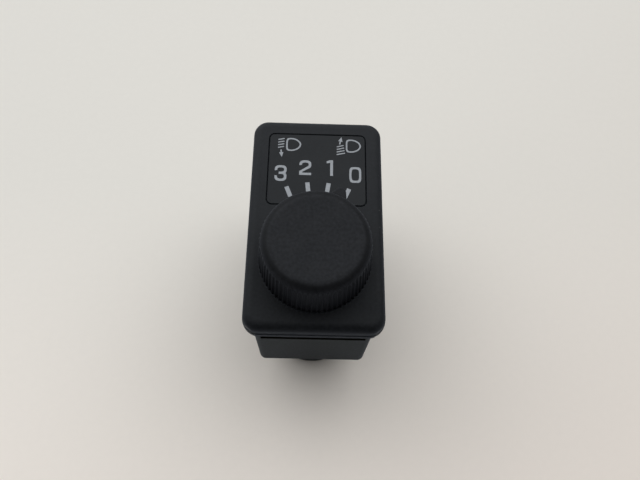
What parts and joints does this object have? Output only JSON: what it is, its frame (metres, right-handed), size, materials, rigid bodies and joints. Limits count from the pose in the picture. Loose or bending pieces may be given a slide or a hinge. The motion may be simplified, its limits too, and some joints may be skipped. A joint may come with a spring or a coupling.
{
  "type": "headlight levelling switch",
  "caption": "Dashboard rotary switch with a fluted knob, a pointer and a backlit legend window, in a snap-in rectangular case with a round rear drum and connector socket.",
  "frame": {"origin": "under the middle of the bezel, on the surface that the end of the rear drum stands on", "axes": "+X right across the face, +Y up the face towards the legend, +Z out of the face along the knob's axis"},
  "size_m": [0.0274, 0.0464, 0.0521],
  "materials": {
    "face_plastic": "fine satin grain",
    "legend_plastic": "smooth satin",
    "clear_acrylic": "clear moulded",
    "case_plastic": "moulded matt",
    "knob_plastic": "soft satin",
    "spring_steel": "bright drawn",
    "turned_steel": "turned",
    "bronze": "sintered",
    "natural_nylon": "natural moulded",
    "ball_steel": "polished",
    "contact_brass": "stamped",
    "board_laminate": "solder mask",
    "copper_foil": "etched foil",
    "chip_ceramic": "glazed",
    "base_plastic": "moulded matt",
    "tinned_brass": "tin plated",
    "zinc_steel": "zinc plated",
    "lamp_glass": "clear"
  },
  "bodies": {
    "case": {"bezel": "face_plastic", "legend_panel": "legend_plastic", "light_guide": "clear_acrylic", "housing": "case_plastic", "shaft_bush": "bronze", "detent_plate": "turned_steel", "circuit_board": "board_laminate", "contact_tracks": "copper_foil", "chip_resistors": "chip_ceramic", "contact_base": "base_plastic", "terminals": "tinned_brass", "base_screws": "zinc_steel", "lamp_holder": "base_plastic", "lamp_bulb": "lamp_glass", "lamp_contacts": "contact_brass", "lamp_strips": "contact_brass"},
    "turning_unit": {"knob": "knob_plastic", "knob_clip": "spring_steel", "shaft": "turned_steel", "thrust_washer": "natural_nylon", "e_ring": "spring_steel", "rotor": "natural_nylon", "wiper": "contact_brass", "detent_spring": "spring_steel"},
    "ball": {"detent_ball": "ball_steel"}
  },
  "joints": [
    {"name": "knob_turn", "type": "hinge", "parent": "case", "child": "turning_unit", "pos_m": [0, -0.00872, 0.042], "axis": [0, 0, 1], "range_deg": [0, 45]},
    {"name": "ball_lift", "type": "slide", "parent": "turning_unit", "child": "ball", "axis": [0, 0, -1], "range_m": [0, 0.00028], "stiffness_N_per_m": 300, "springref_m": -0.001, "deforming": ["detent_spring"]}
  ]
}
